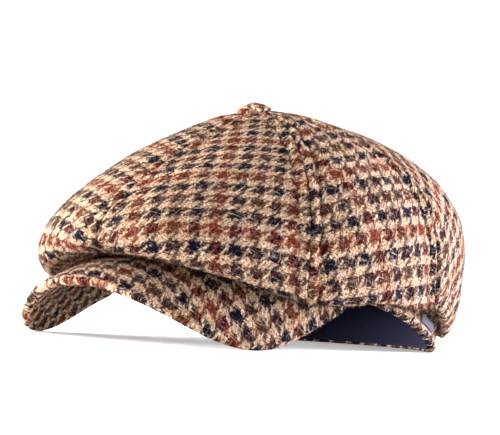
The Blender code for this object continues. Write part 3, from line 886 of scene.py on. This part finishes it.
def peak_piece():
    """The board in its cover: the upper cloth is drawn round the edge and sewn to the lower one below it."""
    s = np.linspace(-PEAK_END, PEAK_END, PEAK_COLS)
    p = peak_points(s)
    depth = np.array([*PEAK_ROWS, *[1.0] * len(NOSE), *PEAK_ROWS[::-1]])
    for _ in range(3):          # lift it until its lowest point stands on the floor
        p[..., 2] -= p[..., 2].min() * depth
    first, top = len(PEAK_ROWS), len(PEAK_ROWS) + NOSE.index(UPPER_TO)
    cloth = peak_cloth(s, p, depth, first, top)
    n = unit(np.cross(np.gradient(p, axis=0), np.gradient(p, axis=1)))
    if n[len(s) // 2, 3, 2] < 0:        # the upper side looks up
        n = -n
    p = p + n * (0.22 * ripple(p, size=26.0, seed=12) * step(p[..., 2], 2.0, 5.0))[..., None]
    p[..., 2] = np.maximum(p[..., 2], 0.0)
    r, c = p.shape[:2]
    faces = grid_faces(r, c, closed=True, flip=True)
    for start, flip in ((0, True), ((r - 1) * c, False)):       # rungs from top to bottom close both tips
        for j in range(c // 2):
            rung = list(dict.fromkeys((j, j + 1, c - 2 - j, c - 1 - j)))
            if len(rung) > 2:
                faces.append([start + v for v in (rung[::-1] if flip else rung)])
    worn(make("peak_cover", p, faces, tweed, cloth, sharp=60), "tweed", "peak")
    upper, lower = np.s_[:, :top - 2], np.s_[:, top + 4:]
    fuzz("peak_wool", p[upper], n[upper], cloth[upper], FUZZ_PEAK, 70)
    fuzz("peak_wool_below", p[lower], n[lower], cloth[lower], FUZZ_PEAK // 2, 71)


peak_piece()

# ---------------------------------------------------------------- button and tab
BUTTON_ROUND, BUTTON_ROWS = 96, 23
BUTTON_UNDER = (2.5, 4.5, 7.0, BUTTON[-1][0] - 0.4)     # rings of its underside, on the crown
BUTTON_DOME, BUTTON_RIM = 0.7, 0.8                      # rise of its middle, and drop of its rim
BUTTON_CLOTH = (10.0, 26.0)                             # place of its middle in the cloth, in threads
GATHERS = 18                                            # of the cover, round its rim
TAB_ROUND = 0.45                                        # rounding of the tab's edges


def button_piece():
    """A disc covered with the cloth, which bends down with the crown."""
    t = all_round(BUTTON_ROUND)
    apex = np.array([0.0, APEX[0], 0.0])
    ring = np.stack([np.sin(t), -np.cos(t), 0 * t], -1)

    def crown_z(radius):
        return crown_base(t, dome_start(t, radius))[:, 2]
    rows = [apex + at(ring[:, :2] * radius, crown_z(radius) + 1.5 * GAP) for radius in BUTTON_UNDER]
    below = len(rows)
    rr, hh = np.array(BUTTON[::-1]).T
    place = along(np.stack([rr, hh], -1)[:, None, :], 0)[:, 0]
    for g in np.linspace(0, 1, BUTTON_ROWS + 1)[:-1] * place[-1]:
        r, h = np.interp(g, place, rr), np.interp(g, place, hh)
        rows.append(apex + at(ring[:, :2] * r, APEX[1] + h + BUTTON_LEAN * (crown_z(r) - APEX[1])))
    low_mid, top_mid = apex + [0, 0, APEX[1] + GAP + 0.1], apex + [0, 0, APEX[1] + BUTTON[0][1]]
    pts = np.concatenate(rows + [[low_mid], [top_mid]])
    n, k = len(t), len(rows)
    faces = grid_faces(k, n, closed=True, flip=True)
    for b in range(n):
        b2 = (b + 1) % n
        faces.append((k * n, b2, b))
        faces.append((k * n + 1, (k - 1) * n + b, (k - 1) * n + b2))
    x, y = pts[:, 0], pts[:, 1] - APEX[0]
    radius = np.hypot(x, y)
    high = np.arange(len(pts)) >= below * n         # points of the upper side
    high[-2] = False
    gather = 0.22 * np.cos(GATHERS * np.arctan2(x, -y)) * step(radius, 5.0, 9.5)
    uneven = (0.12 * ripple(pts, size=5.0, seed=21) + gather) * (1 - step(radius, 9.5, 9.9))
    domed = BUTTON_DOME * (1 - np.clip(radius / 9.4, 0, 1) ** 2) - BUTTON_RIM * step(radius, 6.5, 9.8)
    pts[:, 2] += high * (uneven + domed)
    # the cloth is drawn over the rim, so a point there lies further out in it
    flat = 0.4 * (1 + np.clip(pts[:, 2].max() - pts[:, 2], 0, 6) / np.maximum(radius, 2.0))
    cloth = np.stack([x * flat + BUTTON_CLOTH[0], y * flat + BUTTON_CLOTH[1], 0 * x + BUTTON_LAYER], -1)
    worn(make("button_cover", pts, faces, tweed, cloth, sharp=60), "tweed", "button")
    grid, grid_cloth = (v[below * n:k * n].reshape(k - below, n, 3) for v in (pts, cloth))
    normal = unit(np.cross(np.gradient(grid, axis=1), np.gradient(grid, axis=0)))
    fuzz("button_wool", grid, normal * np.sign(normal[..., 2:3]), grid_cloth, FUZZ_BUTTON, 80)


def tab_piece():
    """A plain plate bent to the band, with softened edges."""
    t0 = np.radians(TAB["t"])
    turn = TAB["long"] / 2 / np.hypot(RIM_HALF_W * np.cos(t0), RIM_HALF_L * np.sin(t0))
    q = np.array([-1, -0.97, -0.9, *np.linspace(-0.8, 0.8, 17), 0.9, 0.97, 1])
    v = np.array([-1, -0.92, -0.8, -0.4, 0, 0.4, 0.8, 0.92, 1])[:, None]
    t, h = np.broadcast_arrays(t0 + turn * q, TAB["up"] + TAB["tall"] / 2 * v)
    edge = np.minimum((1 - np.abs(q)) * TAB["long"] / 2, (1 - np.abs(v)) * TAB["tall"] / 2)
    round_off = TAB_ROUND * (1 - np.clip(edge / TAB_ROUND, 0, 1)) ** 2
    back_side = on_band(t, h, GAP)
    face_side = on_band(t, h, GAP + TAB["thick"] - round_off)
    r, c = t.shape
    pts = np.concatenate([face_side[::-1].reshape(-1, 3), back_side[::-1].reshape(-1, 3)])
    faces = grid_faces(r, c) + grid_faces(r, c, r * c, flip=True)
    o = np.arange(r * c).reshape(r, c)
    i = o + r * c
    for a, b in ((i[0], o[0]), (o[-1], i[-1]), (o[:, 0], i[:, 0]), (i[:, -1], o[:, -1])):
        for k in range(len(a) - 1):
            faces.append((a[k], b[k], b[k + 1], a[k + 1]))
    place = np.stack([np.broadcast_to(q * TAB["long"] / 2, t.shape), h, 0 * h], -1).reshape(-1, 3)
    obj = make("tab_plate", pts, faces, metal, np.concatenate([place, place]), sharp=35)
    worn(obj, "dark_metal", "tab")


button_piece()
tab_piece()

# ---------------------------------------------------------------- stage, light, camera
AZ, EL, TILT = np.radians(39.57), np.radians(-1.29), np.radians(3.56)
TARGET, DISTANCE = np.array([0.0, -10.0 + CENTRE_Y, 65.0]), 1300.0
PHOTO = np.array([500.0, 435.0])                # the photograph's size in pixels,
MM_PX, SEEN_AT = 0.5615, (264.6, 227.7)         # its scale at the target, and where it shows the target
SENSOR = 36.0
back = np.array([np.sin(AZ) * np.cos(EL), -np.cos(AZ) * np.cos(EL), np.sin(EL)])
right = np.array([np.cos(AZ), np.sin(AZ), 0.0])
up = np.cross(back, right)
across = right * np.cos(TILT) + up * np.sin(TILT)
above = -right * np.sin(TILT) + up * np.cos(TILT)

SWEEP_FLAT, SWEEP_BEND, SWEEP_HIGH = 2500.0, 700.0, 3000.0
GLOW = dict(behind=0.75, front=0.02, left=0.50, right=0.40, near=0.25)     # the sweep's own light by side
SKY = 0.14

WHITE, WARM, WARMER = (1.0, 0.99, 0.98), (1.0, 0.99, 0.97), (1.0, 0.98, 0.96)
COOL, VIOLET = (0.80, 0.81, 1.0), (0.92, 0.89, 1.0)
LIGHTS = (                      # place from the cap: right, up and towards the photograph's camera, in metres
    dict(name="left_high", side=-1.1, high=0.85, near=-0.2, size=(0.8, 0.9), watts=36.0, colour=WARM),
    dict(name="left_front", side=-0.9, high=1.0, near=0.6, size=(0.6, 0.6), watts=6.0, colour=WHITE),
    dict(name="left_back", side=-1.2, high=0.5, near=-0.4, size=(0.6, 0.8), watts=20.0, colour=WHITE),
    dict(name="left_strip", side=-1.25, high=-0.05, near=-0.25, size=(1.1, 0.1), watts=135.0, colour=WARMER),
    dict(name="right_strip", side=1.25, high=-0.05, near=-0.2, size=(0.9, 0.1), watts=42.0, colour=VIOLET),
    dict(name="right_back", side=1.3, high=0.25, near=-0.4, size=(0.6, 0.6), watts=80.0, colour=COOL),
    dict(name="top_back", side=-0.2, high=1.3, near=-0.5, size=(0.9, 0.7), watts=26.0, colour=WHITE),
)


def sky():
    world = bpy.data.worlds.new("studio")
    bpy.context.scene.world = world
    world.use_nodes = True
    background = world.node_tree.nodes["Background"]
    background.inputs["Color"].default_value = (1.0, 1.0, 1.0, 1.0)
    background.inputs["Strength"].default_value = SKY


def floor():
    """Pale sweep: a flat disc that turns up far behind the cap and glows like a lit backdrop."""
    turn = np.linspace(0.1, 1, 9) * np.pi / 2
    r = np.concatenate([np.linspace(0.001, SWEEP_FLAT, 22), SWEEP_FLAT + SWEEP_BEND * np.sin(turn),
                        [SWEEP_FLAT + SWEEP_BEND] * 4])
    z = np.concatenate([np.zeros(22), SWEEP_BEND * (1 - np.cos(turn)), np.linspace(1200.0, SWEEP_HIGH, 4)])
    t = all_round(96)
    pts = np.stack([r[:, None] * np.sin(t), -r[:, None] * np.cos(t), z[:, None] + 0 * t], -1)
    way = unit(pts[..., :2])
    c, s = way @ unit(back[:2]), way @ right[:2]
    glow = (GLOW["front"] * np.clip(c, 0, 1) ** 2 + GLOW["behind"] * np.clip(-c, 0, 1) ** 2
            + GLOW["right"] * np.clip(s, 0, 1) ** 2 + GLOW["left"] * np.clip(-s, 0, 1) ** 2)
    far = step(r, 500.0, 2400.0)[:, None]
    glow = glow * far + GLOW["near"] * (1 - far)
    faces = grid_faces(len(r), len(t), closed=True, flip=True)
    make("sweep", pts, faces, paper_material(), np.repeat(glow.reshape(-1, 1), 3, 1))


def light(name, side, high, near, size, watts, colour):
    """A rectangular lamp that looks at the cap."""
    data = bpy.data.lights.new(name, "AREA")
    data.shape = "RECTANGLE"
    data.size, data.size_y = size
    data.energy = watts
    data.color = colour
    obj = bpy.data.objects.new(name, data)
    bpy.context.scene.collection.objects.link(obj)
    away = Vector((right * side + np.array([0, 0, 1.0]) * high + back * near).tolist())
    obj.location = Vector((TARGET * MM).tolist()) + away
    obj.rotation_mode = "QUATERNION"
    obj.rotation_quaternion = (-away).to_track_quat("-Z", "Y")


def camera():
    """The photograph's camera."""
    data = bpy.data.cameras.new("camera")
    data.sensor_width = SENSOR
    data.lens = SENSOR * DISTANCE / (PHOTO[0] * MM_PX)
    data.clip_start, data.clip_end = 0.05, 20.0
    obj = bpy.data.objects.new("camera", data)
    bpy.context.scene.collection.objects.link(obj)
    bpy.context.scene.camera = obj
    off = (SEEN_AT - PHOTO / 2) * MM_PX
    place = TARGET + back * DISTANCE - across * off[0] + above * off[1]
    turned = np.eye(4)
    turned[:3] = np.stack([across, above, back, place * MM], 1)
    obj.matrix_world = Matrix(turned.tolist())


sky()
floor()
for lamp in LIGHTS:
    light(**lamp)
camera()
bpy.context.scene.view_settings.view_transform = "Standard"
